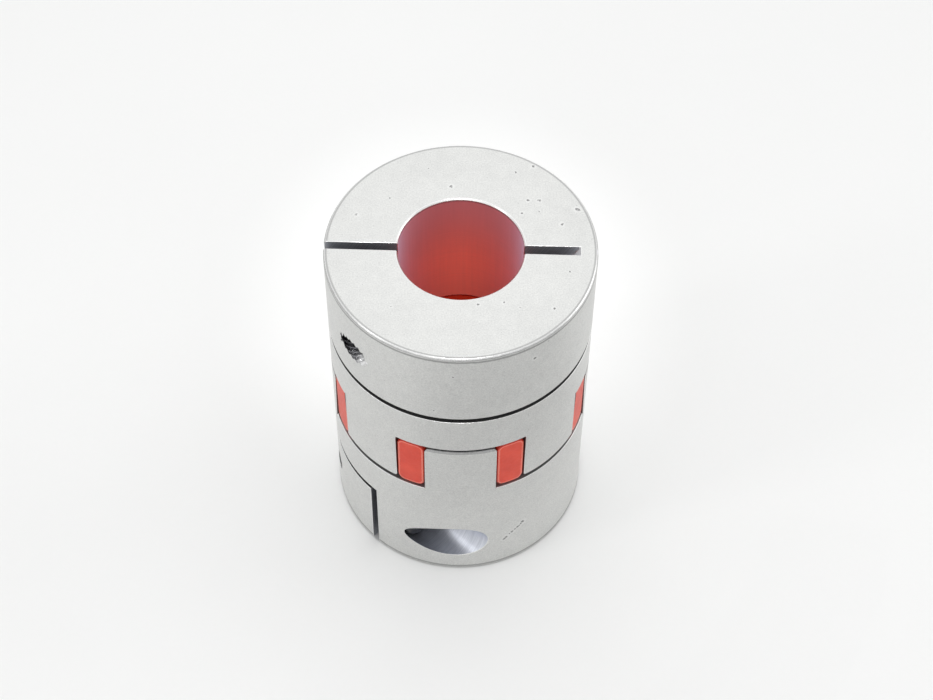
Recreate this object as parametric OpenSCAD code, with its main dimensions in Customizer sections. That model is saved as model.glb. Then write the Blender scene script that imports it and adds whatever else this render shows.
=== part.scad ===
// Clamp-type jaw coupling: two equal aluminium hubs, one elastomer spider between their jaws,
// and one cap screw that closes the slit of each hub.
// The origin is the middle of the lower clamp face. +Z runs up the shaft axis.

/* [Hubs] */
// Outer diameter of both hubs
outer_d = 55; // [54:0.5:60]
// Length of the coupling from clamp face to clamp face
total_l = 80; // [76:0.5:90]
// Height of each hub from its clamp face to the roots of its jaws
body_h = 32; // [28:0.5:34]
// Chamfer on the outer edge of each clamp face
edge_chamfer = 0.4; // [0.2:0.1:1.5]

/* [Shaft bore] */
// Diameter of the shaft bore in both hubs
bore_d = 25.4; // [19:0.1:27]
// Chamfer on the mouth of the bore
bore_chamfer = 0.3; // [0.2:0.1:1.2]

/* [Clamp slits] */
// Height of the clamp arm from the clamp face to the cross slit
arm_h = 20.5; // [18:0.5:24]
// Width of the cross slit that frees the arm
cross_slit_w = 1.3; // [0.8:0.1:2]
// Width of the axial slit where it opens at the rim
slit_mouth_w = 1.7; // [1:0.1:2.6]
// Width of the axial slit at its closed end
slit_end_w = 2.1; // [1:0.1:2.6]
// Wall between the closed end of the axial slit and the rim, at the clamp face
web_t = 3.5; // [2.5:0.1:6]
// Diameter of the saw whose arc closes the axial slit
saw_d = 80; // [60:1:120]
// Turn of the axial slit from the middle of the gap between two jaws, in degrees
slit_turn = 1.8; // [0:0.1:4]

/* [Clamp screws] */
// Thread diameter
screw_d = 6; // [5:0.1:6.4]
// Length under the head
screw_l = 16; // [12:1:20]
// Diameter of the cap head
head_d = 10; // [9:0.1:10]
// Height of the cap head
head_h = 6; // [4:0.1:6]
// Width across the flats of the hex socket
key_w = 5; // [4:0.1:6]
// Depth of the hex socket
key_depth = 3; // [2:0.1:3.5]
// Distance of the screw's axis from the rim
screw_inset = 6.7; // [6.6:0.1:7.5]
// Height of the screw's axis above the clamp face
screw_h = 11.2; // [8:0.1:12.4]
// Distance of the head's seat from the middle plane of the slit
seat_depth = 3; // [2.5:0.1:3.2]
// Radial clearance of the head in its counterbore
head_gap = 0.5; // [0.3:0.05:1]
// Radial clearance of the shank in the near half of the hub
shank_gap = 0.3; // [0.1:0.05:0.6]
// Radial clearance of the thread in the far half of the hub
thread_gap = 0.05; // [0.02:0.01:0.1]

/* [Jaws] */
// Number of jaws on each hub
jaw_count = 4; // [3:1:5]
// Gap between the tips of the jaws and the other hub
tip_gap = 0.8; // [0.5:0.1:1.8]
// Height of the lead-in chamfer on the outer edge of each jaw tip
tip_chamfer_h = 0.7; // [0.3:0.1:1]
// Width of that chamfer, across the tip's face
tip_chamfer_w = 0.25; // [0.1:0.05:0.6]
// Rounding of the corners of each jaw tip
tip_r = 1.2; // [0.4:0.1:2]
// Width of a leg's pocket at the rim
pocket_w = 6.4; // [5:0.1:7]
// Width of a leg's pocket at its inner end
pocket_neck_w = 6; // [5:0.1:7]
// Diameter of the round part of a pocket
pocket_d = 8; // [7.2:0.1:9]
// Distance of the round part's middle from the rim
pocket_inset = 5.5; // [4.8:0.1:6]

/* [Spider] */
// Radial clearance of the shaft in the spider's ring
shaft_gap = 0.8; // [0.4:0.1:1.5]
// Radial thickness of the spider's ring
ring_t = 3.5; // [2.5:0.1:4]
// Clearance between the ring and the inner faces of the jaws
ring_gap = 0.3; // [0.1:0.1:0.8]
// Clearance around the round part of each leg
leg_gap = 0.15; // [0.05:0.05:0.3]
// Clearance on each side of a leg's outer end
nose_gap = 0.15; // [0.1:0.05:0.5]
// Recess of the legs' outer faces from the rim
leg_recess = 0.3; // [0.2:0.1:1.5]
// Rounding of the corners of a leg's outer face
leg_corner_r = 1.8; // [0.5:0.1:2]
// Rounding of the upright edges of a leg's outer face
leg_edge_r = 0.5; // [0.2:0.1:1]
// Gap above and below the spider's faces
spider_end_gap = 0.5; // [0.4:0.1:1.5]
// Diameter of the spacing nubs on the faces of the legs
nub_d = 3; // [2:0.1:4]
// Clearance above and below the nubs
nub_gap = 0.1; // [0.05:0.05:0.3]

/* [Assembly] */
// Which gap between jaws, counted from +X, holds the lower hub's open slit
lower_slit_index = 3; // [1:1:3]
// Which jaw of the lower hub, counted from +X, stands under the upper hub's open slit
upper_slit_jaw = 2; // [1:1:3]

/* [Hidden] */
$fn = 96;

outer_r = outer_d / 2;
bore_r = bore_d / 2;
saw_r = saw_d / 2;
// How far a cutting shape runs past the surface that it opens
past = 1;

// Jaws and pockets
jaw_pitch = 360 / jaw_count;
pocket_count = 2 * jaw_count;
window_h = total_l - 2 * body_h;
jaw_h = window_h - tip_gap;
hub_h = body_h + jaw_h;
pocket_r = outer_r - pocket_inset;

// Spider
ring_inner_r = bore_r + shaft_gap;
ring_outer_r = ring_inner_r + ring_t;
jaw_inner_r = ring_outer_r + ring_gap;
spider_h = window_h - 2 * spider_end_gap;
leg_d = pocket_d - 2 * leg_gap;
leg_neck_w = pocket_neck_w - 2 * leg_gap;
nose_w = pocket_w - 2 * nose_gap;
nose_r = outer_r - leg_recess;
nub_h = spider_end_gap - nub_gap;

// Slits: the axial one is as deep as the far side of the cross slit
slit_depth = arm_h + cross_slit_w;
slit_end_x = outer_r - web_t;
saw_x = sqrt(pow(saw_r, 2) - pow(saw_r - slit_depth, 2)) - slit_end_x;

// Screws
screw_x = outer_r - screw_inset;
counterbore_r = head_d / 2 + head_gap;
shank_hole_r = screw_d / 2 + shank_gap;
tapped_hole_r = screw_d / 2 + thread_gap;
screw_tip_chamfer = 0.8;
head_chamfer = 0.5;

// Turn of each hub about the shaft, which brings its jaws between the other hub's
lower_turn = (lower_slit_index - 0.5) * jaw_pitch + slit_turn;
upper_turn = upper_slit_jaw * jaw_pitch - slit_turn;

// Width of the axial slit at a distance x from the shaft axis, wider towards its closed end
function slit_w(x) =
    slit_mouth_w + (slit_end_w - slit_mouth_w) * (outer_r - x) / (outer_r + slit_end_x);

// Solid of revolution of one hub up to the roots of its jaws, with the shaft bore
module hub_body() {
    rotate_extrude()
        polygon([
            [bore_r + bore_chamfer, 0],
            [outer_r - edge_chamfer, 0],
            [outer_r, edge_chamfer],
            [outer_r, body_h],
            [bore_r, body_h],
            [bore_r, bore_chamfer]
        ]);
}

// Plan of the pocket for one leg, along +X: a round middle, a neck inwards and a slot outwards
module pocket_plan() {
    translate([pocket_r, 0])
        circle(d = pocket_d);
    translate([0, -pocket_neck_w / 2])
        square([pocket_r, pocket_neck_w]);
    translate([pocket_r, -pocket_w / 2])
        square([pocket_inset + past, pocket_w]);
}

// Plan of one jaw, along +X, between the pockets on its two sides
module jaw_plan() {
    reach = 2 * outer_r;
    half = jaw_pitch / 4;
    difference() {
        intersection() {
            circle(outer_r);
            polygon([[0, 0], [reach, -reach * tan(half)], [reach, reach * tan(half)]]);
        }
        circle(jaw_inner_r);
        for (side = [-1, 1])
            rotate(side * half)
                pocket_plan();
    }
}

// Envelope of the jaws, which chamfers the outer edge of their tips
module jaw_envelope() {
    rotate_extrude()
        polygon([
            [0, 0],
            [outer_r, 0],
            [outer_r, hub_h - tip_chamfer_h],
            [outer_r - tip_chamfer_w, hub_h],
            [0, hub_h]
        ]);
}

// Cutter that rounds a jaw's tip along the wall of the pocket beside it
module tip_rounding(side) {
    rotate(side * jaw_pitch / 4)
        translate([pocket_r, -side * (pocket_w / 2 + tip_r), hub_h - tip_r])
            rotate([0, 90, 0])
                difference() {
                    translate([-tip_r - past, min(0, side * (tip_r + past)), 0])
                        cube([tip_r + past, tip_r + past, pocket_inset + past]);
                    translate([0, 0, -past])
                        cylinder(r = tip_r, h = pocket_inset + 3 * past);
                }
}

// One jaw, from just inside the hub's body to its tip
module jaw() {
    difference() {
        intersection() {
            translate([0, 0, body_h - past])
                linear_extrude(jaw_h + past)
                    jaw_plan();
            jaw_envelope();
        }
        for (side = [-1, 1])
            tip_rounding(side);
    }
}

// Axial slit: open at the rim on +X, and closed on -X by the arc of the saw
module axial_slit() {
    intersection() {
        translate([0, 0, -past])
            linear_extrude(slit_depth + past)
                polygon([
                    [-outer_r, -slit_w(-outer_r) / 2],
                    [outer_r + past, -slit_w(outer_r + past) / 2],
                    [outer_r + past, slit_w(outer_r + past) / 2],
                    [-outer_r, slit_w(-outer_r) / 2]
                ]);
        union() {
            translate([saw_x, outer_r, slit_depth - saw_r])
                rotate([90, 0, 0])
                    cylinder(r = saw_r, h = outer_d);
            translate([saw_x, -outer_r, -2 * past])
                cube([outer_d, outer_d, slit_depth + 2 * past]);
        }
    }
}

// Cross slit: frees the half on -Y, which becomes the clamp arm
module cross_slit() {
    translate([-outer_r - past, -outer_r - past, arm_h])
        cube([outer_d + 2 * past, outer_r + past, cross_slit_w]);
}

// Holes for the clamp screw: counterbore and clearance hole on +Y, tapped hole on -Y
module screw_holes() {
    translate([screw_x, 0, screw_h])
        rotate([-90, 0, 0]) {
            translate([0, 0, seat_depth])
                cylinder(r = counterbore_r, h = outer_r);
            cylinder(r = shank_hole_r, h = seat_depth + past);
            translate([0, 0, -outer_r])
                cylinder(r = tapped_hole_r, h = outer_r + past / 2);
        }
}

// One hub, clamp face down and jaws up, with its slit open towards +X
module hub() {
    difference() {
        union() {
            hub_body();
            for (i = [0 : jaw_count - 1])
                rotate((i + 0.5) * jaw_pitch - slit_turn)
                    jaw();
        }
        axial_slit();
        cross_slit();
        screw_holes();
    }
}

// Socket head cap screw, in place in a hub whose clamp face is down
module clamp_screw() {
    shank_r = screw_d / 2;
    head_r = head_d / 2;
    translate([screw_x, seat_depth, screw_h])
        rotate([-90, 0, 0])
            difference() {
                rotate_extrude()
                    polygon([
                        [0, -screw_l],
                        [shank_r - screw_tip_chamfer, -screw_l],
                        [shank_r, screw_tip_chamfer - screw_l],
                        [shank_r, 0],
                        [head_r, 0],
                        [head_r, head_h - head_chamfer],
                        [head_r - head_chamfer, head_h],
                        [0, head_h]
                    ]);
                translate([0, 0, head_h - key_depth])
                    cylinder(d = key_w / cos(30), h = key_depth + past, $fn = 6);
            }
}

// Places what is drawn clamp face down as the lower or the upper half of the coupling
module as_lower() {
    rotate(lower_turn)
        children();
}

module as_upper() {
    translate([0, 0, total_l])
        rotate(upper_turn)
            rotate([180, 0, 0])
                children();
}

// Plan of a leg's outer end, with its upright edges rounded
module nose_plan() {
    translate([pocket_r, -nose_w / 2])
        square([nose_r - leg_edge_r - pocket_r, nose_w]);
    translate([pocket_r, leg_edge_r - nose_w / 2])
        square([nose_r - pocket_r, nose_w - 2 * leg_edge_r]);
    for (side = [-1, 1])
        translate([nose_r - leg_edge_r, side * (nose_w / 2 - leg_edge_r)])
            circle(leg_edge_r);
}

// Front view of a leg's outer end, as wide as the nose and as high as the spider
module nose_front() {
    inner_w = nose_w - 2 * leg_corner_r;
    inner_h = spider_h - 2 * leg_corner_r;
    square([nose_w, inner_h], center = true);
    square([inner_w, spider_h], center = true);
    for (x = [-1, 1], y = [-1, 1])
        translate([x * inner_w / 2, y * inner_h / 2])
            circle(leg_corner_r);
}

// One leg of the spider, along +X, centred on the height of the spider
module leg() {
    translate([0, 0, -spider_h / 2])
        linear_extrude(spider_h) {
            translate([pocket_r, 0])
                circle(d = leg_d);
            translate([ring_outer_r - ring_t / 2, -leg_neck_w / 2])
                square([pocket_r - ring_outer_r + ring_t / 2, leg_neck_w]);
        }
    intersection() {
        translate([0, 0, -spider_h / 2])
            linear_extrude(spider_h)
                nose_plan();
        rotate([90, 0, 90])
            linear_extrude(outer_d)
                nose_front();
    }
    translate([pocket_r, 0, -spider_h / 2 - nub_h])
        cylinder(d = nub_d, h = spider_h + 2 * nub_h);
}

// Elastomer spider: a ring around the shaft with one leg in each pocket
module spider_solid() {
    translate([0, 0, total_l / 2]) {
        translate([0, 0, -spider_h / 2])
            difference() {
                cylinder(r = ring_outer_r, h = spider_h);
                translate([0, 0, -past])
                    cylinder(r = ring_inner_r, h = spider_h + 2 * past);
            }
        for (i = [0 : pocket_count - 1])
            rotate((i + 0.5) * jaw_pitch / 2)
                leg();
    }
}

module lower_hub() {
    color("silver")
        as_lower()
            hub();
}

module upper_hub() {
    color("silver")
        as_upper()
            hub();
}

module spider() {
    color("tomato")
        spider_solid();
}

module lower_clamp_screw() {
    color("dimgray")
        as_lower()
            clamp_screw();
}

module upper_clamp_screw() {
    color("dimgray")
        as_upper()
            clamp_screw();
}

lower_hub();
upper_hub();
spider();
lower_clamp_screw();
upper_clamp_screw();
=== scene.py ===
import math

import bmesh
import bpy
from mathutils import Matrix, Vector


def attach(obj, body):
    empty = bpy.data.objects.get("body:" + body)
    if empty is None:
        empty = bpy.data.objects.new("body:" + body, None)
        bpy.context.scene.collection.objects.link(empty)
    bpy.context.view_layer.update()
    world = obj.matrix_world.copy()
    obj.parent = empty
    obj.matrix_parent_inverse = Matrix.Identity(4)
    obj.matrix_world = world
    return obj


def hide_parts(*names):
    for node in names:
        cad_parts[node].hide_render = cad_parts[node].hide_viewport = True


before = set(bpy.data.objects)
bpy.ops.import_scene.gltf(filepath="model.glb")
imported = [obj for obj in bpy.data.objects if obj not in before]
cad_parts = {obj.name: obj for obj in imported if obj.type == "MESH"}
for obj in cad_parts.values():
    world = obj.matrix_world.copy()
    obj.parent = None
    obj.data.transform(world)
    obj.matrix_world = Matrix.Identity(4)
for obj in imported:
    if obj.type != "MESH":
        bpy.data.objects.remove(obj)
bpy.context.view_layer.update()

MM = 0.001

# Sizes of the coupling, in mm, as in the solids
OUTER_R = 27.5
TOTAL_L = 80.0
BORE_R = 12.7
BODY_H = 32.0
HUB_H = 47.2
SLIT_DEPTH = 21.8
ARM_H = 20.5
SAW_R = 40.0
SCREW_X = 20.8
SCREW_H = 11.2
SEAT_DEPTH = 3.0
HOLE_RADII = (5.5, 3.3, 3.05)  # counterbore, clearance hole and tapped hole
SCREW_L = 16.0
HEAD_R = 5.0
HEAD_H = 6.0
KEY_W = 5.0
KEY_DEPTH = 3.0
PITCH = 1.0
HALF_SPIDER_H = 7.5
RING_R = 17.0
RING_HOLE_R = 13.5
LEG_X = 22.0
NOSE_X = 27.2
HALF_NOSE = 3.05
NOSE_EDGE_R = 0.5
NOSE_CORNER_R = 1.8
NUB_H = 0.4

# Where each hub's own frame (clamp face down at z = 0, slit open towards +X) lies in the coupling
LOWER = Matrix.Rotation(math.radians(226.8), 4, "Z")
UPPER = (Matrix.Translation((0, 0, TOTAL_L * MM)) @ Matrix.Rotation(math.radians(178.2), 4, "Z")
         @ Matrix.Rotation(math.pi, 4, "X"))
# The screw's frame in a hub's: +Z along the screw towards its head, z = 0 at the head's seat
SCREW = (Matrix.Translation(Vector((SCREW_X, SEAT_DEPTH, SCREW_H)) * MM)
         @ Matrix.Rotation(math.radians(-90), 4, "X"))


# Camera: at the photograph's viewing angle

def set_camera():
    """The angles in degrees, the lens and the place come from a fit to the photograph's rims and slits."""
    yaw, pitch, roll = (math.radians(a) for a in (0.8592, 54.2267, 0.62996))
    forward = Vector((math.sin(yaw) * math.cos(pitch), math.cos(yaw) * math.cos(pitch), -math.sin(pitch)))
    right = forward.cross(Vector((0, 0, 1))).normalized()
    up = right.cross(forward)
    across = math.cos(roll) * right + math.sin(roll) * up
    upward = -math.sin(roll) * right + math.cos(roll) * up
    data = bpy.data.cameras.new("camera")
    data.sensor_width = 36.0
    data.lens = 78.111
    data.clip_start = 0.01
    data.clip_end = 50.0
    camera = bpy.data.objects.new("camera", data)
    rotation = Matrix((across, upward, -forward)).transposed().to_4x4()
    camera.matrix_world = Matrix.Translation((-0.002426, -0.252730, 0.395990)) @ rotation
    bpy.context.scene.collection.objects.link(camera)
    bpy.context.scene.camera = camera


# Node helpers: each returns an output socket, and takes numbers or sockets

def new_material(name):
    material = bpy.data.materials.new(name)
    material.use_nodes = True
    tree = material.node_tree
    tree.nodes.clear()
    output = tree.nodes.new("ShaderNodeOutputMaterial")
    shader = tree.nodes.new("ShaderNodeBsdfPrincipled")
    tree.links.new(shader.outputs[0], output.inputs[0])
    return material, tree, shader


def feed(tree, socket, value):
    if isinstance(value, bpy.types.NodeSocket):
        tree.links.new(value, socket)
    else:
        socket.default_value = value


def place_vector(tree):
    """Position in the coupling's frame, in metres."""
    return tree.nodes.new("ShaderNodeTexCoord").outputs["Object"]


def hub_vector(tree):
    """Position in the hub's own frame, in mm."""
    node = tree.nodes.new("ShaderNodeAttribute")
    node.attribute_name = "hub"
    return node.outputs["Vector"]


def along(tree, vector, axis):
    node = tree.nodes.new("ShaderNodeSeparateXYZ")
    feed(tree, node.inputs[0], vector)
    return node.outputs[axis]


def scaled(tree, vector, scale):
    node = tree.nodes.new("ShaderNodeVectorMath")
    node.operation = "MULTIPLY"
    feed(tree, node.inputs[0], vector)
    node.inputs[1].default_value = scale
    return node.outputs[0]


def noise(tree, vector, scale, detail=2.0, roughness=0.5, distortion=0.0):
    node = tree.nodes.new("ShaderNodeTexNoise")
    feed(tree, node.inputs["Vector"], vector)
    node.inputs["Scale"].default_value = scale
    node.inputs["Detail"].default_value = detail
    node.inputs["Roughness"].default_value = roughness
    node.inputs["Distortion"].default_value = distortion
    return node.outputs["Fac"]


def maths(tree, operation, a, b=0.0, clamp=False):
    node = tree.nodes.new("ShaderNodeMath")
    node.operation = operation
    node.use_clamp = clamp
    feed(tree, node.inputs[0], a)
    feed(tree, node.inputs[1], b)
    return node.outputs[0]


def length_of(tree, a, b):
    """Square root of a * a + b * b."""
    squares = maths(tree, "ADD", maths(tree, "MULTIPLY", a, a), maths(tree, "MULTIPLY", b, b))
    return maths(tree, "SQRT", squares)


def span(tree, value, low, high, to_low, to_high, smooth=False):
    """Maps low..high to to_low..to_high, and holds the ends."""
    node = tree.nodes.new("ShaderNodeMapRange")
    node.interpolation_type = "SMOOTHSTEP" if smooth else "LINEAR"
    feed(tree, node.inputs["Value"], value)
    node.inputs["From Min"].default_value = low
    node.inputs["From Max"].default_value = high
    node.inputs["To Min"].default_value = to_low
    node.inputs["To Max"].default_value = to_high
    return node.outputs["Result"]


def noise_span(tree, value, to_low, to_high):
    """Maps 0.3..0.7, where most of a noise lies, to to_low..to_high, and holds the ends."""
    return span(tree, value, 0.3, 0.7, to_low, to_high)


def mix(tree, factor, a, b):
    node = tree.nodes.new("ShaderNodeMix")
    node.data_type = "RGBA"
    feed(tree, node.inputs[0], factor)
    feed(tree, node.inputs[6], a)
    feed(tree, node.inputs[7], b)
    return node.outputs[2]


def bump(tree, height, distance, strength=1.0, normal=None):
    node = tree.nodes.new("ShaderNodeBump")
    node.inputs["Strength"].default_value = strength
    node.inputs["Distance"].default_value = distance
    feed(tree, node.inputs["Height"], height)
    if normal is not None:
        feed(tree, node.inputs["Normal"], normal)
    return node.outputs[0]


# Marks on the hubs, as (x, y, z, radius) in mm, where the photograph shows them

def on_top(x, y, radius):
    return (x, y, TOTAL_L, radius)


def on_side(azimuth, z, radius):
    """A mark on the outer surface; azimuth runs from -Y towards +X, in degrees."""
    a = math.radians(azimuth)
    return (OUTER_R * math.sin(a), -OUTER_R * math.cos(a), z, radius)


MARKS = [
    on_top(-1.9, 16.1, 0.36), on_top(13.7, 12.4, 0.30), on_top(16.0, 12.4, 0.32), on_top(12.4, 9.0, 0.26),
    on_top(15.9, 9.5, 0.20), on_top(23.6, 10.0, 0.42), on_top(24.0, 9.8, 0.30), on_top(20.4, 6.1, 0.32),
    on_top(11.4, 19.9, 0.24), on_top(15.0, 21.5, 0.34), on_top(-14.3, 13.0, 0.20), on_top(-21.1, 8.7, 0.30),
    on_top(3.3, -14.1, 0.28), on_top(8.4, -13.6, 0.24), on_top(18.2, -15.1, 0.26), on_top(-13.7, -14.6, 0.22),
    on_top(11.5, -14.8, 0.18), on_top(-19.5, -9.0, 0.16), on_top(21.5, -6.0, 0.17), on_top(-6.5, 21.0, 0.16),
    on_side(31.5, 75.0, 0.38), on_side(-3.4, 74.3, 0.26), on_side(-11.3, 61.9, 0.24),
    on_side(29.9, 14.0, 0.52), on_side(29.0, 13.4, 0.40), on_side(28.2, 13.0, 0.28),
    on_side(27.2, 12.7, 0.40), on_side(26.0, 12.2, 0.32), on_side(24.6, 11.6, 0.44),
    on_side(23.4, 11.1, 0.28), on_side(21.7, 10.2, 0.48), on_side(20.6, 9.7, 0.40),
]


def mark_masks(tree, vector):
    """(dark core, pale rim) of all the marks."""
    ragged = noise_span(tree, noise(tree, vector, 2600, 3, 0.7), -0.22 * MM, 0.22 * MM)
    core, rim = 0.0, 0.0
    for x, y, z, radius in MARKS:
        node = tree.nodes.new("ShaderNodeVectorMath")
        node.operation = "DISTANCE"
        feed(tree, node.inputs[0], vector)
        node.inputs[1].default_value = Vector((x, y, z)) * MM
        distance = maths(tree, "ADD", node.outputs["Value"], ragged)
        core = maths(tree, "MAXIMUM", core,
                     span(tree, distance, radius * 0.3 * MM, radius * 1.15 * MM, 1, 0, smooth=True))
        rim = maths(tree, "MAXIMUM", rim,
                    span(tree, distance, radius * 1.2 * MM, radius * 2.6 * MM, 1, 0, smooth=True))
    return core, maths(tree, "MULTIPLY", rim, 0.6)


def distance_from_axis(tree, vector):
    """Distance from the shaft axis, in the unit of the vector."""
    node = tree.nodes.new("ShaderNodeVectorMath")
    node.operation = "LENGTH"
    feed(tree, node.inputs[0], scaled(tree, vector, (1, 1, 0)))
    return node.outputs["Value"]


def face_rim(tree, vector):
    """A duller ring at the rim of the clamp face, from the hub's own frame in mm."""
    at_face = span(tree, along(tree, vector, "Z"), 0.1, 0.2, 1, 0)
    at_rim = span(tree, distance_from_axis(tree, vector), OUTER_R - 0.8, OUTER_R - 0.7, 0, 1)
    return maths(tree, "MULTIPLY", at_face, at_rim)


def rim_shade_line(tree, vector, low, high):
    """A thin line of painted shade around the hub, from low to high over its clamp face, in the hub's own
    frame in mm.
    """
    height = along(tree, vector, "Z")
    wander = noise_span(tree, noise(tree, vector, 0.9, 3, 0.6), -0.06, 0.06)
    height = maths(tree, "ADD", height, wander)
    line = maths(tree, "MULTIPLY", span(tree, height, low - 0.1, low + 0.1, 0, 1),
                 span(tree, height, high - 0.1, high + 0.1, 1, 0))
    outside = span(tree, distance_from_axis(tree, vector), OUTER_R - 1.0, OUTER_R - 0.8, 0, 1)
    return maths(tree, "MULTIPLY", line, outside)


# Materials

def anodised_metal():
    """Fine matt anodised aluminium, with grain, faint clouding, small pits and the marks."""
    material, tree, shader = new_material("hub_anodised")
    vector = place_vector(tree)
    grain = noise(tree, vector, 3300, 3, 0.65)
    cloud = noise(tree, vector, 520, 3, 0.55)
    broad = noise(tree, vector, 75, 2, 0.5)
    pits = span(tree, noise(tree, vector, 1500, 2, 0.5), 0.235, 0.27, 1, 0)
    core, rim = mark_masks(tree, vector)
    tone = maths(tree, "ADD", noise_span(tree, grain, 0, 0.7),
                 maths(tree, "ADD", noise_span(tree, cloud, 0, 0.2), noise_span(tree, broad, 0, 0.1)))
    base = mix(tree, tone, (0.560, 0.562, 0.553, 1), (0.790, 0.792, 0.776, 1))
    base = mix(tree, rim, base, (0.78, 0.78, 0.77, 1))
    worn = maths(tree, "MAXIMUM", maths(tree, "MULTIPLY", core, 0.85), maths(tree, "MULTIPLY", pits, 0.35))
    base = mix(tree, worn, base, (0.16, 0.16, 0.16, 1))
    # A line of painted shade under the rim, and a darker ring at the clamp face's rim.
    line = maths(tree, "MULTIPLY", rim_shade_line(tree, hub_vector(tree), 0.72, 1.25), 0.6)
    line = maths(tree, "MAXIMUM", line, maths(tree, "MULTIPLY", face_rim(tree, hub_vector(tree)), 0.42))
    base = mix(tree, line, base, (0.20, 0.20, 0.20, 1))
    feed(tree, shader.inputs["Base Color"], base)
    shader.inputs["Metallic"].default_value = 1.0
    feed(tree, shader.inputs["Roughness"], span(tree, maths(tree, "ADD", grain, cloud), 0.7, 1.3, 0.50, 0.60))
    height = maths(tree, "SUBTRACT", grain, maths(tree, "MULTIPLY", core, 3.0))
    feed(tree, shader.inputs["Normal"], bump(tree, height, 0.000008))
    return material


def bored_metal():
    """Turned aluminium of the bore, its colour a painted reflection of the spider's red light: orange by the
    spider, duller at the mouth.

    The sheen greys its sides, as the turning marks do on the real bore.
    """
    material, tree, shader = new_material("hub_bored")
    vector = hub_vector(tree)
    depth = along(tree, vector, "Z")
    rings = noise(tree, scaled(tree, vector, (0.05, 0.05, 5.0)), 1.0, 4, 0.7)
    streaks = noise(tree, scaled(tree, vector, (1.6, 1.6, 0.05)), 1.0, 3, 0.6)
    # Painted reflection of the spider's red, stronger deeper in.
    painted_spider_red = span(tree, depth, 1, 22, 0, 1, smooth=True)
    base = mix(tree, painted_spider_red, (0.52, 0.118, 0.115, 1), (1.0, 0.165, 0.090, 1))
    # A dark band just inside the mouth: painted shade.
    mouth = span(tree, depth, 0.55, 0.95, 0.75, 0, smooth=True)
    base = mix(tree, mouth, base, (0.20, 0.06, 0.06, 1))
    tone = maths(tree, "ADD", noise_span(tree, rings, 0, 0.10), noise_span(tree, streaks, 0, 0.08))
    feed(tree, shader.inputs["Base Color"], mix(tree, tone, base, (0.30, 0.07, 0.06, 1)))
    shader.inputs["Metallic"].default_value = 0.2
    shader.inputs["Sheen Weight"].default_value = 0.5
    shader.inputs["Sheen Roughness"].default_value = 0.45
    shader.inputs["Sheen Tint"].default_value = (0.72, 0.74, 1.0, 1)
    feed(tree, shader.inputs["Roughness"], noise_span(tree, streaks, 0.30, 0.38))
    shader.inputs["Anisotropic"].default_value = 0.8
    shader.inputs["Anisotropic Rotation"].default_value = 0.25
    tangent = tree.nodes.new("ShaderNodeTangent")
    tangent.direction_type = "RADIAL"
    tangent.axis = "Z"
    feed(tree, shader.inputs["Tangent"], tangent.outputs[0])
    feed(tree, shader.inputs["Normal"], bump(tree, rings, 0.000004))
    return material


def sawn_metal():
    """Bare sawn aluminium: the arcs that the saw left."""
    material, tree, shader = new_material("hub_sawn")
    vector = hub_vector(tree)
    drop = maths(tree, "SUBTRACT", along(tree, vector, "Z"), SLIT_DEPTH - SAW_R)
    reach = maths(tree, "SQRT", maths(tree, "SUBTRACT", SAW_R ** 2, maths(tree, "MULTIPLY", drop, drop)))
    join = tree.nodes.new("ShaderNodeCombineXYZ")
    feed(tree, join.inputs[0], maths(tree, "ADD", along(tree, vector, "X"), reach))
    lines = noise(tree, scaled(tree, join.outputs[0], (5.0, 1.0, 1.0)), 1.0, 4, 0.7)
    feed(tree, shader.inputs["Base Color"],
         mix(tree, span(tree, lines, 0.35, 0.65, 0, 1), (0.26, 0.27, 0.30, 1), (0.66, 0.67, 0.70, 1)))
    shader.inputs["Metallic"].default_value = 0.9
    feed(tree, shader.inputs["Roughness"], noise_span(tree, lines, 0.45, 0.3))
    feed(tree, shader.inputs["Normal"], bump(tree, lines, 0.00002))
    return material


def milled_metal(name, dark, light, roughness, metallic=0.9):
    """Bare milled aluminium between a dark and a light tone. The hubs also take darker copies of it that
    paint shade and a lighter one that paints light.
    """
    material, tree, shader = new_material(name)
    vector = hub_vector(tree)
    swirl = noise(tree, scaled(tree, vector, (2.4, 2.4, 1.2)), 1.0, 4, 0.65, 0.6)
    feed(tree, shader.inputs["Base Color"], mix(tree, noise_span(tree, swirl, 0, 1), dark, light))
    shader.inputs["Metallic"].default_value = metallic
    feed(tree, shader.inputs["Roughness"], noise_span(tree, swirl, roughness + 0.05, roughness - 0.05))
    feed(tree, shader.inputs["Normal"], bump(tree, swirl, 0.00001))
    return material


def drilled_metal():
    """Bare milled aluminium of the screw holes: faint rings around the hole."""
    material, tree, shader = new_material("hub_drilled")
    vector = hub_vector(tree)
    rings = noise(tree, scaled(tree, vector, (0.15, 4.0, 0.15)), 1.0, 4, 0.7)
    feed(tree, shader.inputs["Base Color"],
         mix(tree, span(tree, rings, 0.35, 0.65, 0, 1), (0.55, 0.57, 0.63, 1), (0.70, 0.72, 0.78, 1)))
    shader.inputs["Metallic"].default_value = 0.9
    feed(tree, shader.inputs["Roughness"], span(tree, rings, 0.35, 0.65, 0.42, 0.35))
    feed(tree, shader.inputs["Normal"], bump(tree, rings, 0.000014))
    return material


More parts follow.
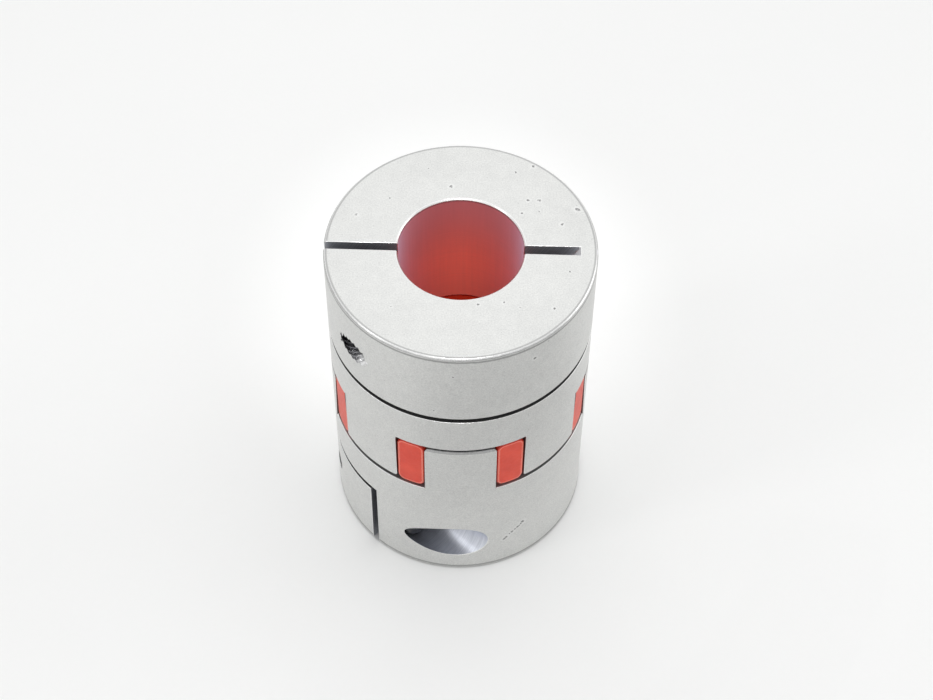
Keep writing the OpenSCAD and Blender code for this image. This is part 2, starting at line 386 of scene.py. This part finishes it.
def threaded_metal():
    """Cut threads: painted light by the mouth of the hole, and painted shade deeper inside and on the side
    away from the shaft.
    """
    material, tree, shader = new_material("hub_threaded")
    vector = hub_vector(tree)
    torn = noise(tree, vector, 3.2, 3, 0.6)
    # Painted light by the mouth, and painted shade on the side away from the shaft.
    painted_light_at_mouth = span(tree, maths(tree, "ADD", distance_from_axis(tree, vector), torn),
                  OUTER_R - 1.6, OUTER_R - 0.4, 0, 1)
    lit_side = span(tree, along(tree, vector, "X"), SCREW_X - 1.6, SCREW_X - 0.2, 1, 0.05, smooth=True)
    painted_light_at_mouth = maths(tree, "MULTIPLY", painted_light_at_mouth, lit_side)
    base = mix(tree, span(tree, torn, 0.35, 0.65, 0, 1), (0.70, 0.70, 0.70, 1), (0.90, 0.90, 0.90, 1))
    feed(tree, shader.inputs["Base Color"], mix(tree, painted_light_at_mouth, (0.13, 0.13, 0.14, 1), base))
    shader.inputs["Metallic"].default_value = 1.0
    feed(tree, shader.inputs["Roughness"], noise_span(tree, torn, 0.34, 0.24))
    feed(tree, shader.inputs["Normal"], bump(tree, torn, 0.00002))
    return material


def edge_metal():
    """Bright edges, where the chamfers and deburred corners are cut through the matt finish."""
    material, tree, shader = new_material("hub_edge")
    vector = place_vector(tree)
    grain = noise(tree, vector, 3200, 3, 0.6)
    base = mix(tree, noise_span(tree, grain, 0, 1), (0.72, 0.72, 0.71, 1), (0.86, 0.86, 0.85, 1))
    # The outer half of the chamfer is darkened: painted shade.
    line = maths(tree, "MULTIPLY", rim_shade_line(tree, hub_vector(tree), 0.22, 0.5), 0.6)
    feed(tree, shader.inputs["Base Color"], mix(tree, line, base, (0.20, 0.20, 0.20, 1)))
    shader.inputs["Metallic"].default_value = 1.0
    feed(tree, shader.inputs["Roughness"], noise_span(tree, grain, 0.34, 0.24))
    feed(tree, shader.inputs["Normal"], bump(tree, grain, 0.00001))
    return material


def inside_leg_outline(tree, vector):
    """Distance in mm inwards from the outline of the nearest leg's outer face, and 1 only on that face.

    The distance is a little short at the leg's ends, where the lines that follow it lie further in.
    """
    x, y, z = (along(tree, scaled(tree, vector, (1 / MM, 1 / MM, 1 / MM)), axis) for axis in "XYZ")
    pitch = math.pi / 4
    turn = maths(tree, "FLOORED_MODULO", maths(tree, "ARCTAN2", y, x), pitch)
    turn = maths(tree, "SUBTRACT", turn, pitch / 2)
    reach = length_of(tree, x, y)
    outwards = maths(tree, "MULTIPLY", reach, maths(tree, "COSINE", turn))
    aside = maths(tree, "ABSOLUTE", maths(tree, "MULTIPLY", reach, maths(tree, "SINE", turn)))
    above = maths(tree, "ABSOLUTE", maths(tree, "SUBTRACT", z, TOTAL_L / 2))
    aside = maths(tree, "MAXIMUM", maths(tree, "SUBTRACT", aside, HALF_NOSE - NOSE_CORNER_R), 0.0)
    above = maths(tree, "MAXIMUM", maths(tree, "SUBTRACT", above, HALF_SPIDER_H - NOSE_CORNER_R), 0.0)
    above = maths(tree, "MULTIPLY", above, 1.09)
    corner = length_of(tree, aside, above)
    on_face = span(tree, outwards, NOSE_X - 0.7, NOSE_X - 0.4, 0, 1)
    return maths(tree, "SUBTRACT", NOSE_CORNER_R, corner), on_face


def elastomer():
    """Moulded red polyurethane that lets a little light in, with a pale line of painted highlight inside the
    legs' edges, which are darker with painted shade.
    """
    material, tree, shader = new_material("spider_polyurethane")
    vector = place_vector(tree)
    cloud = noise(tree, vector, 260, 3, 0.55)
    peel = noise(tree, vector, 1500, 2, 0.5)
    inside, on_face = inside_leg_outline(tree, vector)
    inside = maths(tree, "ADD", inside, noise_span(tree, peel, -0.05, 0.05))
    # A pale line of painted highlight inside the leg's edge.
    pale = maths(tree, "MULTIPLY", span(tree, inside, 0.18, 0.36, 0, 0.45, smooth=True),
                 span(tree, inside, 0.42, 0.72, 1, 0, smooth=True))
    # Darker edges of the legs: painted shade.
    dark = span(tree, inside, 0.03, 0.25, 0.75, 0, smooth=True)
    base = mix(tree, noise_span(tree, cloud, 0, 1), (0.60, 0.038, 0.014, 1), (0.69, 0.056, 0.022, 1))
    base = mix(tree, maths(tree, "MULTIPLY", pale, on_face), base, (0.92, 0.36, 0.28, 1))
    base = mix(tree, maths(tree, "MULTIPLY", dark, on_face), base, (0.33, 0.018, 0.012, 1))
    feed(tree, shader.inputs["Base Color"], base)
    feed(tree, shader.inputs["Roughness"], noise_span(tree, peel, 0.36, 0.46))
    shader.inputs["Specular IOR Level"].default_value = 0.4
    shader.inputs["Subsurface Weight"].default_value = 0.35
    shader.inputs["Subsurface Radius"].default_value = (1.0, 0.22, 0.14)
    shader.inputs["Subsurface Scale"].default_value = 0.0025
    shader.inputs["IOR"].default_value = 1.5
    feed(tree, shader.inputs["Normal"], bump(tree, maths(tree, "ADD", peel, cloud), 0.00003))
    return material


def black_steel():
    """Black-oxide steel, rubbed brighter in places."""
    material, tree, shader = new_material("screw_black_oxide")
    vector = place_vector(tree)
    grain = noise(tree, vector, 2400, 3, 0.6)
    rubbed = span(tree, noise(tree, vector, 420, 3, 0.6), 0.58, 0.72, 0, 0.5)
    base = mix(tree, grain, (0.035, 0.035, 0.038, 1), (0.075, 0.075, 0.080, 1))
    feed(tree, shader.inputs["Base Color"], mix(tree, rubbed, base, (0.20, 0.20, 0.21, 1)))
    shader.inputs["Metallic"].default_value = 0.85
    feed(tree, shader.inputs["Roughness"], noise_span(tree, grain, 0.5, 0.34))
    feed(tree, shader.inputs["Normal"], bump(tree, grain, 0.00001))
    return material


def paper():
    """Pale floor with a painted contact shadow where the coupling stands on it, and darker further out as
    painted fall-off of the light.
    """
    material, tree, shader = new_material("floor_paper")
    vector = place_vector(tree)
    cloud = noise(tree, vector, 14, 3, 0.55)
    fibre = noise(tree, vector, 900, 2, 0.6)
    tone = maths(tree, "ADD", maths(tree, "MULTIPLY", cloud, 0.7), maths(tree, "MULTIPLY", fibre, 0.3))
    base = mix(tree, noise_span(tree, tone, 0, 1), (0.905, 0.905, 0.898, 1), (0.925, 0.925, 0.918, 1))
    distance = distance_from_axis(tree, vector)
    # Painted fall-off of the light: darker further from the coupling.
    painted_falloff = span(tree, distance, 0.05, 0.30, 0, 0.8, smooth=True)
    base = mix(tree, painted_falloff, base, (0.84, 0.84, 0.832, 1))
    # A painted contact shadow around the coupling's foot.
    painted_contact_shadow = span(tree, distance, (OUTER_R - 0.3) * MM, (OUTER_R + 0.3) * MM, 0.4, 0, smooth=True)
    feed(tree, shader.inputs["Base Color"], mix(tree, painted_contact_shadow, base, (0.15, 0.15, 0.15, 1)))
    shader.inputs["Roughness"].default_value = 0.75
    shader.inputs["Specular IOR Level"].default_value = 0.25
    feed(tree, shader.inputs["Normal"], bump(tree, fibre, 0.00002))
    return material


# Meshes

SHARP_ANGLE = math.radians(25)


def fine_mesh(node, width, segments, edge_material, stays_sharp):
    """The CAD mesh with its flat faces whole and its sharp edges rounded, and the faces of the rounding."""
    bm = bmesh.new()
    bm.from_mesh(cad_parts[node].data)
    bmesh.ops.remove_doubles(bm, verts=bm.verts, dist=0.002 * MM)
    bmesh.ops.dissolve_limit(bm, angle_limit=math.radians(0.4), verts=bm.verts, edges=bm.edges)
    for face in bm.faces:
        face.material_index = 0
    sharp = [e for e in bm.edges if len(e.link_faces) == 2 and e.calc_face_angle() > SHARP_ANGLE
             and not stays_sharp(e)]
    made = bmesh.ops.bevel(bm, geom=sharp, offset=width * MM, offset_type="OFFSET", segments=segments,
                           profile=0.5, affect="EDGES", clamp_overlap=False, material=edge_material)
    bm.normal_update()
    return bm, set(made["faces"])


def corner_normals(bm, rounded, exact):
    """One normal per face corner. exact(face, vertex) gives it where the surface's form is known."""
    near = math.cos(SHARP_ANGLE)

    def plain(face, vertex):
        found = exact(face, vertex)
        if found is not None:
            return found
        total = Vector()
        for other in vertex.link_faces:
            if other not in rounded and other.normal.dot(face.normal) > near:
                total += other.normal * other.calc_area()
        return total.normalized() if total.length > 0 else face.normal

    normals = []
    for face in bm.faces:
        for loop in face.loops:
            if face not in rounded:
                normals.append(plain(face, loop.vert))
                continue
            beside = [f for f in loop.vert.link_faces if f not in rounded]
            if beside:
                total = sum((plain(f, loop.vert) for f in beside), Vector())
            else:
                total = sum((f.normal for f in loop.vert.link_faces), Vector())
            normals.append(total.normalized() if total.length > 0 else face.normal)
    return normals


def add_piece(name, bm, materials, replaced=(), normals=None, hub_place=None):
    """A finished piece. Given hub_place, it stores where its vertices lie in the hub's own frame, in mm."""
    mesh = bpy.data.meshes.new(name)
    bm.to_mesh(mesh)
    bm.free()
    for material in materials:
        mesh.materials.append(material)
    mesh.polygons.foreach_set("use_smooth", [True] * len(mesh.polygons))
    if normals is not None:
        mesh.normals_split_custom_set(normals)
    if hub_place is not None:
        back = hub_place.inverted()
        attribute = mesh.attributes.new("hub", "FLOAT_VECTOR", "POINT")
        flat = [c for v in mesh.vertices for c in (back @ v.co) / MM]
        attribute.data.foreach_set("vector", flat)
    piece = bpy.data.objects.new(name, mesh)
    bpy.context.scene.collection.objects.link(piece)
    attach(piece, "root")
    if replaced:
        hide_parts(*replaced)
    return piece


# Hubs

# The hubs' material indices, in the order of hub_materials. The milled, gap and pocket metals are darker
# copies that paint shade, and the slit's end metal is a lighter copy that paints light.
BODY, BORED, SAWN, DRILLED, EDGE, SHADED_MILLED, GAP_SHADE, LIT_SLIT_END, POCKET_SHADE = range(9)
# How far, in mm, the middle of a face may lie from the round or flat surface that it belongs to
NEAR_ROUND = 0.07
NEAR_FLAT = 0.05
# Width of the rounding along the hubs' edges, in mm
EDGE_ROUNDING = 0.13


def hub_surface(centre, normal):
    """(material, form) of a hub's face, from its middle and normal in the hub's own frame, in mm."""
    x, y, z = centre
    r = math.hypot(x, y)
    outward = (normal.x * x + normal.y * y) / r
    hole = math.hypot(x - SCREW_X, z - SCREW_H)
    inward = -(normal.x * (x - SCREW_X) + normal.z * (z - SCREW_H)) / max(hole, 0.001)
    if abs(r - OUTER_R) < NEAR_ROUND and outward > 0.99:
        return BODY, "outer"
    if abs(r - BORE_R) < NEAR_ROUND and outward < -0.99:
        return BORED, "bore"
    if inward > 0.98 and any(abs(hole - size) < NEAR_ROUND for size in HOLE_RADII):
        return DRILLED, "hole"
    if abs(y - SEAT_DEPTH) < NEAR_FLAT and normal.y > 0.99 and hole < HOLE_RADII[0]:
        return DRILLED, "flat"
    if abs(y) < 1.2 and z < SLIT_DEPTH + NEAR_FLAT:
        if abs(normal.y) > 0.98:
            return SAWN, "plain"
        if abs(normal.y) < 0.05 and x < -BORE_R:
            # The slit's closed end takes a lighter bare metal than the sawn walls: painted light where light
            # falls on it.
            return LIT_SLIT_END, "plain"
    if abs(normal.z) > 0.99 and (abs(z - ARM_H) < NEAR_FLAT or abs(z - SLIT_DEPTH) < NEAR_FLAT):
        # Flat faces at the arm's and the slit's depth take the near-black gap metal: painted shade.
        return GAP_SHADE, "flat"
    if 0.3 < abs(normal.z) < 0.95 and abs(outward) > 0.3 and (r > OUTER_R - 0.6 or r < BORE_R + 0.7):
        if z < 0.6:
            return EDGE, "cone"
        # The jaw tips' chamfers take the darker milled metal: painted shade under the other hub.
        if z > HUB_H - 0.8:
            return SHADED_MILLED, "cone"
    if abs(normal.z) > 0.999:
        if z < BODY_H - NEAR_FLAT:
            return BODY, "flat"
        # Roots take the darker milled metal and jaw tips the near-black gap metal: both painted shade.
        return (SHADED_MILLED if z < BODY_H + NEAR_FLAT else GAP_SHADE), "flat"
    if z > BODY_H:
        # Walls in the jaws' pockets take a dark reddish metal: painted shade, with the spider's red painted
        # in as a reflection.
        return POCKET_SHADE, "plain"
    return BODY, "plain"


def add_hub(name, node, place, materials):
    """A hub from its CAD mesh, with rounded edges and a material for each kind of surface."""
    back = place.inverted()
    turn, turn_back = place.to_3x3(), back.to_3x3()

    def tapped_mouth(edge):
        for point in (back @ v.co / MM for v in edge.verts):
            radius = math.hypot(point.x - SCREW_X, point.z - SCREW_H)
            if point.y > -10 or abs(radius - HOLE_RADII[2]) > NEAR_ROUND:
                return False
        return True

    bm, rounded = fine_mesh(node, EDGE_ROUNDING, 2, EDGE, tapped_mouth)
    forms = {}
    for face in bm.faces:
        if face in rounded:
            continue
        material, form = hub_surface(back @ face.calc_center_median() / MM, turn_back @ face.normal)
        face.material_index = material
        forms[face] = form
    for face in rounded:
        centre = back @ face.calc_center_median() / MM
        by_clamp_face = centre.z < 0.03 and math.hypot(centre.x, centre.y) > OUTER_R - 0.7
        # Roundings at the jaw tips take the near-black gap metal, and those near the tips and at the clamp
        # face's rim take the darker milled metal: painted shade.
        if centre.z > HUB_H - 0.15:
            face.material_index = GAP_SHADE
        elif centre.z > HUB_H - 0.8 or by_clamp_face:
            face.material_index = SHADED_MILLED

    def exact(face, vertex):
        form = forms[face]
        if form == "flat":
            return face.normal.copy()
        if form == "plain":
            return None
        x, y, z = back @ vertex.co / MM
        if form == "hole":
            local = Vector((SCREW_X - x, 0, SCREW_H - z))
        else:
            local = Vector((x, y, 0)).normalized()
            if form == "bore":
                local = -local
            elif form == "cone":
                own = turn_back @ face.normal
                level = math.copysign(math.sqrt(1 - own.z ** 2), own.x * x + own.y * y)
                local = Vector((local.x * level, local.y * level, own.z))
        return (turn @ local).normalized()

    normals = corner_normals(bm, rounded, exact)
    return add_piece(name, bm, materials, [node], normals, place)


# Clamp screws and the threads of their holes, drawn in the screw's frame

def grid_mesh(rows, place, closed=False):
    """A solid from rows of points in mm, placed by a matrix: capped at its ends, or closed into a ring."""
    bm = bmesh.new()
    made = [[bm.verts.new(place @ (Vector(p) * MM)) for p in row] for row in rows]
    following = made[1:] + made[:1] if closed else made[1:]
    for lower, upper in zip(made, following):
        for i in range(len(lower)):
            j = (i + 1) % len(lower)
            bm.faces.new((lower[i], lower[j], upper[j], upper[i]))
    if not closed:
        bm.faces.new(list(reversed(made[0])))
        bm.faces.new(made[-1])
    bm.faces.index_update()
    bmesh.ops.recalc_face_normals(bm, faces=bm.faces)
    return bm


def sharpen(bm, degrees):
    """Marks the edges that turn more than this as sharp, so that smooth shading stops there."""
    for edge in bm.edges:
        edge.smooth = edge.calc_face_angle(0) < math.radians(degrees)


def thread(phase, low, high, low_flat, high_flat):
    """Radius of a thread at a phase of its pitch: a flat at low, a flank, a flat at high and a flank."""
    phase %= 1.0
    flank = (1.0 - low_flat - high_flat) / 2
    if phase < low_flat:
        return low
    if phase < low_flat + flank:
        return low + (high - low) * (phase - low_flat) / flank
    if phase < low_flat + flank + high_flat:
        return high
    return high - (high - low) * (phase - low_flat - flank - high_flat) / flank


def ring(radius_at, z, steps):
    """Points around +Z at height z, where radius_at gives the radius at an angle."""
    points = []
    for i in range(steps):
        angle = 2 * math.pi * i / steps
        radius = radius_at(angle)
        points.append((radius * math.cos(angle), radius * math.sin(angle), z))
    return points


def add_screw(name, node, hub_place, material):
    """A cap screw with its thread, knurled head and hex socket."""
    steps, count = 120, 190
    shank_r, crest_r, root_r = 3.0, 2.98, 2.42
    thread_end, run_out = -1.0, 0.8

    def hexagon(angle):
        return KEY_W / 2 / math.cos((angle + math.pi / 6) % (math.pi / 3) - math.pi / 6)

    def knurl(depth):
        return lambda angle: HEAD_R - depth * abs(math.sin(angle * 30))

    rows = [ring(lambda a: 2.0, -SCREW_L, steps)]
    for i in range(count + 1):
        z = -SCREW_L + 0.02 + (SCREW_L - 1.2) * i / count
        tip = 2.05 + (z + SCREW_L) * 1.1
        fade = min(1.0, (thread_end - z) / run_out + 0.02)

        def threaded(angle):
            cut = shank_r - thread(z / PITCH - angle / (2 * math.pi), root_r, crest_r, 0.22, 0.14)
            return min(tip, shank_r - fade * cut)

        rows.append(ring(threaded, z, steps))
    rows.append(ring(lambda a: crest_r, -0.25, steps))
    rows.append(ring(lambda a: shank_r, 0.0, steps))
    for radius, z in ((4.6, 0.0), (4.85, 0.15)):
        rows.append(ring(lambda a: radius, z, steps))
    for depth, z in ((0.05, 0.3), (0.16, 0.5), (0.16, 4.9), (0.05, 5.15)):
        rows.append(ring(knurl(depth), z, steps))
    for radius, z in ((4.88, 5.3), (4.6, 5.75), (4.35, 5.93), (4.1, 6.0), (3.1, 6.0), (2.98, 5.95)):
        rows.append(ring(lambda a: radius, z, steps))
    rows.append(ring(lambda a: max(hexagon(a), 2.86), HEAD_H - 0.12, steps))
    rows.append(ring(hexagon, HEAD_H - 0.35, steps))
    rows.append(ring(hexagon, HEAD_H - KEY_DEPTH, steps))
    rows.append(ring(lambda a: 0.3, HEAD_H - KEY_DEPTH - 0.7, steps))
    bm = grid_mesh(rows, hub_place @ SCREW)
    sharpen(bm, 28)
    return add_piece(name, bm, [material], [node])


def add_thread(name, hub_place, materials):
    """The open part of a tapped hole, from the screw's tip to its mouth in the hub's outer surface."""
    steps, count = 96, 110
    start = -SCREW_L - 0.05
    crest, root = 2.5, 3.0

    def mouth(angle, radius):
        x = SCREW_X + radius * math.cos(angle)
        return -math.sqrt(OUTER_R ** 2 - x ** 2) - SEAT_DEPTH

    def depth(angle, z):
        return thread(z / PITCH - angle / (2 * math.pi), crest, root, 0.25, 0.125)

    def point(angle, radius, z):
        return (radius * math.cos(angle), radius * math.sin(angle), z)

    angles = [2 * math.pi * i / steps for i in range(steps)]
    ends = []
    for angle in angles:
        end = mouth(angle, crest)
        for _ in range(12):
            end = 0.5 * (end + mouth(angle, depth(angle, end)))
        ends.append(end)
    rows = []
    for k in range(count + 1):
        heights = [start + (end - start) * k / count for end in ends]
        rows.append([point(a, depth(a, z), z) for a, z in zip(angles, heights)])
    outer = HOLE_RADII[2] - 0.005
    rows.append([point(a, outer, mouth(a, outer)) for a in angles])
    rows.append([point(a, outer, start) for a in angles])
    bm = grid_mesh(rows, hub_place @ SCREW, closed=True)
    land = range(count * steps, (count + 1) * steps)
    sharpen(bm, 28)
    bm.faces.ensure_lookup_table()
    back, turn = hub_place.inverted(), hub_place.to_3x3()
    normals = []
    for face in bm.faces:
        on_land = face.index in land
        face.material_index = 1 if on_land else 0
        for loop in face.loops:
            local = back @ loop.vert.co
            normals.append((turn @ Vector((local.x, local.y, 0))).normalized() if on_land else Vector())
    return add_piece(name, bm, materials, normals=normals, hub_place=hub_place)


# Spider

LEG_ANGLES = [math.pi / 8 + i * math.pi / 4 for i in range(8)]


def spread(low, high, count):
    """Evenly spaced numbers from low to high, both included."""
    return [low + (high - low) * i / (count - 1) for i in range(count)]


def rotated(points, angle):
    c, s = math.cos(angle), math.sin(angle)
    return [(x * c - y * s, x * s + y * c) for x, y in points]


def leg_outline(half_nose, inset):
    """Plan of one leg along +X with its share of the ring, anticlockwise, drawn in by inset."""
    leg_r, half_neck, crown = 3.85, 2.85, 0.06
    start = -math.pi / 8
    end = -math.asin(half_neck / RING_R)
    points = [(RING_R * math.cos(a), RING_R * math.sin(a)) for a in spread(start, end, 8)[:-1]]
    neck_x = RING_R * math.cos(end)
    join_x = LEG_X - math.sqrt(leg_r ** 2 - half_neck ** 2)
    points += [(x, -half_neck) for x in spread(neck_x, join_x, 4)[:-1]]
    first = math.atan2(-half_neck, join_x - LEG_X)
    last = -math.asin(half_nose / leg_r)
    points += [(LEG_X + leg_r * math.cos(a), leg_r * math.sin(a)) for a in spread(first, last, 16)]
    edge_x = NOSE_X - NOSE_EDGE_R
    flat = half_nose - NOSE_EDGE_R
    points.append(((points[-1][0] + edge_x) / 2, -half_nose))
    points += [(edge_x + NOSE_EDGE_R * math.cos(a), -flat + NOSE_EDGE_R * math.sin(a))
               for a in spread(-math.pi / 2, 0, 7)]
    points += [(NOSE_X + crown * (1 - (y / flat) ** 2), y) for y in spread(-flat, 0, 5)[1:]]
    points += [(x, -y) for x, y in reversed(points[:-1])][:-1]
    drawn = []
    turned = rotated(points, -math.pi / 4)[-1:] + points + rotated(points, math.pi / 4)[:1]
    for before, point, after in zip(turned, turned[1:], turned[2:]):
        chord = Vector(after) - Vector(before)
        outward = Vector((chord.y, -chord.x)).normalized()
        drawn.append(tuple(Vector(point) - outward * inset))
    return drawn


def spider_levels(half_h, edge_r, corner_r):
    """(height, half width of the legs' outer ends, inset) from the middle to the upper face."""
    def half_nose(z):
        into = max(0.0, z - (half_h - corner_r))
        return HALF_NOSE - (corner_r - math.sqrt(corner_r ** 2 - into ** 2))

    heights = [0.0, 2.0, 4.0, half_h - corner_r]
    heights += [half_h - corner_r * (1 - t) for t in (0.3, 0.5, 0.62)]
    levels = [(z, half_nose(z), 0.0) for z in heights if z < half_h - edge_r - 0.02]
    for angle in spread(0, math.pi / 2, 7):
        z = half_h - edge_r + edge_r * math.sin(angle)
        levels.append((z, half_nose(z), edge_r * (1 - math.cos(angle))))
    return levels


def add_spider(material):
    half_h, edge_r = HALF_SPIDER_H, 0.4
    middle = TOTAL_L / 2
    upper = spider_levels(half_h, edge_r, NOSE_CORNER_R)
    levels = [(-z, w, inset) for z, w, inset in reversed(upper[1:])] + upper
    bm = bmesh.new()
    rims = []
    for outside in (True, False):
        rows = []
        for z, half_nose, inset in levels:
            if outside:
                leg = leg_outline(half_nose, inset)
                plan = [p for angle in LEG_ANGLES for p in rotated(leg, angle)]
            else:
                radius = RING_HOLE_R + inset * 0.8
                angles = spread(0, 2 * math.pi, 161)[:-1]
                plan = [(radius * math.cos(a), radius * math.sin(a)) for a in angles]
            rows.append([bm.verts.new(Vector((x, y, z + middle)) * MM) for x, y in plan])
        for lower_row, upper_row in zip(rows, rows[1:]):
            for i in range(len(lower_row)):
                j = (i + 1) % len(lower_row)
                bm.faces.new((lower_row[i], lower_row[j], upper_row[j], upper_row[i]))
        rims.append((rows[0], rows[-1]))
    for level in (0, 1):
        edges = []
        for rim in rims:
            loop = rim[level]
            edges += [bm.edges.get((loop[i], loop[(i + 1) % len(loop)])) for i in range(len(loop))]
        bmesh.ops.triangle_fill(bm, edges=edges, use_beauty=True)
    bmesh.ops.recalc_face_normals(bm, faces=bm.faces)
    add_nubs(bm, middle, half_h)
    sharpen(bm, 35)
    return add_piece("spider_moulded", bm, [material], ["spider"])


def add_nubs(bm, middle, half_h):
    """The low round nubs on both faces of each leg."""
    steps = 28
    for angle in LEG_ANGLES:
        for side in (-1, 1):
            place = (Matrix.Rotation(angle, 4, "Z")
                     @ Matrix.Translation(Vector((LEG_X, 0, middle + side * half_h)) * MM))
            rows = []
            for radius, z in ((1.5, -0.3), (1.5, NUB_H - 0.2), (1.44, NUB_H - 0.08), (1.3, NUB_H)):
                rows.append(ring(lambda a: radius, side * z, steps))
            add_to(bm, grid_mesh(rows, place))


def add_to(bm, part):
    """Copies the faces of part into bm."""
    verts = {v: bm.verts.new(v.co) for v in part.verts}
    for face in part.faces:
        bm.faces.new([verts[v] for v in face.verts])
    part.free()


# Stage and light

def stage_object(name, bm, material):
    mesh = bpy.data.meshes.new(name)
    bm.to_mesh(mesh)
    bm.free()
    mesh.materials.append(material)
    made = bpy.data.objects.new(name, mesh)
    bpy.context.scene.collection.objects.link(made)
    return made


def add_floor(material):
    bm = bmesh.new()
    bmesh.ops.create_circle(bm, cap_ends=True, radius=4.0, segments=96)
    floor = stage_object("floor", bm, material)
    floor.location.z = -0.02 * MM


def aimed(location, target):
    """The matrix that puts a lamp at location and points it at target."""
    direction = Vector(target) - Vector(location)
    turn = direction.to_track_quat("-Z", "Y").to_matrix().to_4x4()
    return Matrix.Translation(location) @ turn


def add_area(name, location, target, size, power):
    data = bpy.data.lights.new(name, "AREA")
    data.shape = "RECTANGLE"
    data.size, data.size_y = size
    data.energy = power
    lamp = bpy.data.objects.new(name, data)
    lamp.matrix_world = aimed(location, target)
    lamp.visible_camera = False
    bpy.context.scene.collection.objects.link(lamp)
    return lamp


def add_dark_card(material):
    """A dark card low in front, behind the camera, which keeps the front of the hubs from washing out."""
    bm = bmesh.new()
    corners = [(-0.10, -0.8, 0.0), (0.5, -0.8, 0.0), (0.5, -0.8, 0.26), (-0.10, -0.8, 0.26)]
    bm.faces.new([bm.verts.new(c) for c in corners])
    card = stage_object("dark_card", bm, material)
    card.visible_camera = False


def add_grey_strip(material):
    """A grey arc on the floor in front, seen in reflections only: it darkens the upper hub to the right."""
    bm = bmesh.new()
    rows = []
    azimuths = [math.radians(a) for a in spread(-28, 80, 24)]
    for radius in (71, 100):
        points = [Vector((radius * math.sin(a), -radius * math.cos(a), 0.3)) for a in azimuths]
        rows.append([bm.verts.new(point * MM) for point in points])
    for i in range(len(azimuths) - 1):
        bm.faces.new((rows[0][i], rows[1][i], rows[1][i + 1], rows[0][i + 1]))
    strip = stage_object("grey_strip", bm, material)
    strip.visible_camera = False
    strip.visible_diffuse = False
    strip.visible_shadow = False
    strip.visible_transmission = False


def card_material(name, dark, light):
    material, tree, shader = new_material(name)
    weave = noise(tree, place_vector(tree), 400, 2, 0.5)
    feed(tree, shader.inputs["Base Color"], mix(tree, weave, dark, light))
    shader.inputs["Roughness"].default_value = 0.9
    return material


def add_spot(name, location, target, reach, radius, power):
    """A lamp whose soft-edged beam is as wide as reach on both sides of its target."""
    data = bpy.data.lights.new(name, "SPOT")
    distance = (Vector(target) - Vector(location)).length
    data.spot_size = 2 * math.atan(reach / distance)
    data.spot_blend = 0.35
    data.shadow_soft_size = radius
    data.energy = power
    lamp = bpy.data.objects.new(name, data)
    lamp.matrix_world = aimed(location, target)
    bpy.context.scene.collection.objects.link(lamp)


def set_light():
    """A pale room with soft windows. The back glow lies in the back window and shows in reflections only."""
    world = bpy.data.worlds.new("studio")
    world.use_nodes = True
    background = world.node_tree.nodes["Background"]
    background.inputs["Color"].default_value = (0.915, 0.92, 0.923, 1)
    background.inputs["Strength"].default_value = 1.0
    bpy.context.scene.world = world
    back, back_size = (0.0, 0.66, 1.12), (1.1, 0.8)
    add_area("back_window", back, (0, 0, 0.06), back_size, 1.3)
    glow = add_area("back_glow", back, (0, 0, 0.06), back_size, 1.5)
    glow.visible_diffuse = False
    add_area("left_window", (-0.92, -0.36, 0.78), (0, 0, 0.05), (0.18, 0.50), 0.8)
    add_area("front_top", (-0.30, -0.95, 0.50), (0, 0, 0.03), (0.7, 0.30), 0.5)
    add_area("right_fill", (1.2, 0.25, 0.45), (0, 0, 0.04), (0.8, 0.8), 1.8)
    add_spot("top_spot", (0.0, -0.45, 0.86), (0, 0, 0.08), 0.030, 0.03, 21.0)


set_camera()
bpy.context.scene.view_settings.view_transform = "Standard"
hub_materials = [anodised_metal(), bored_metal(), sawn_metal(), drilled_metal(), edge_metal(),
                 # Darker milled metal: painted shade on the jaw tips, the roots and the rim rounding of the
                 # clamp face.
                 milled_metal("hub_milled_painted_shade", (0.36, 0.36, 0.36, 1), (0.50, 0.50, 0.50, 1), 0.42),
                 # Near-black gap metal: painted shade in the gaps and slits.
                 milled_metal("hub_gap_painted_shade", (0.09, 0.09, 0.09, 1), (0.17, 0.17, 0.17, 1), 0.45),
                 # Lighter bare metal of the slit's end: painted light.
                 milled_metal("hub_slit_end_painted_light", (0.60, 0.60, 0.62, 1), (0.86, 0.86, 0.88, 1), 0.40, 0.3),
                 # Dark reddish pocket metal: painted shade and a painted red reflection of the spider.
                 milled_metal("hub_pocket_painted_shade", (0.16, 0.120, 0.115, 1), (0.26, 0.195, 0.185, 1), 0.45)]
add_hub("lower_hub_finished", "lower_hub", LOWER, hub_materials)
add_hub("upper_hub_finished", "upper_hub", UPPER, hub_materials)
add_spider(elastomer())
steel = black_steel()
add_screw("lower_cap_screw", "lower_clamp_screw", LOWER, steel)
add_screw("upper_cap_screw", "upper_clamp_screw", UPPER, steel)
thread_materials = [threaded_metal(), hub_materials[BODY]]
add_thread("lower_tapped_thread", LOWER, thread_materials)
add_thread("upper_tapped_thread", UPPER, thread_materials)
add_floor(paper())
add_dark_card(card_material("card_black", (0.03, 0.03, 0.03, 1), (0.05, 0.05, 0.05, 1)))
add_grey_strip(card_material("card_grey", (0.18, 0.18, 0.18, 1), (0.22, 0.22, 0.22, 1)))
set_light()
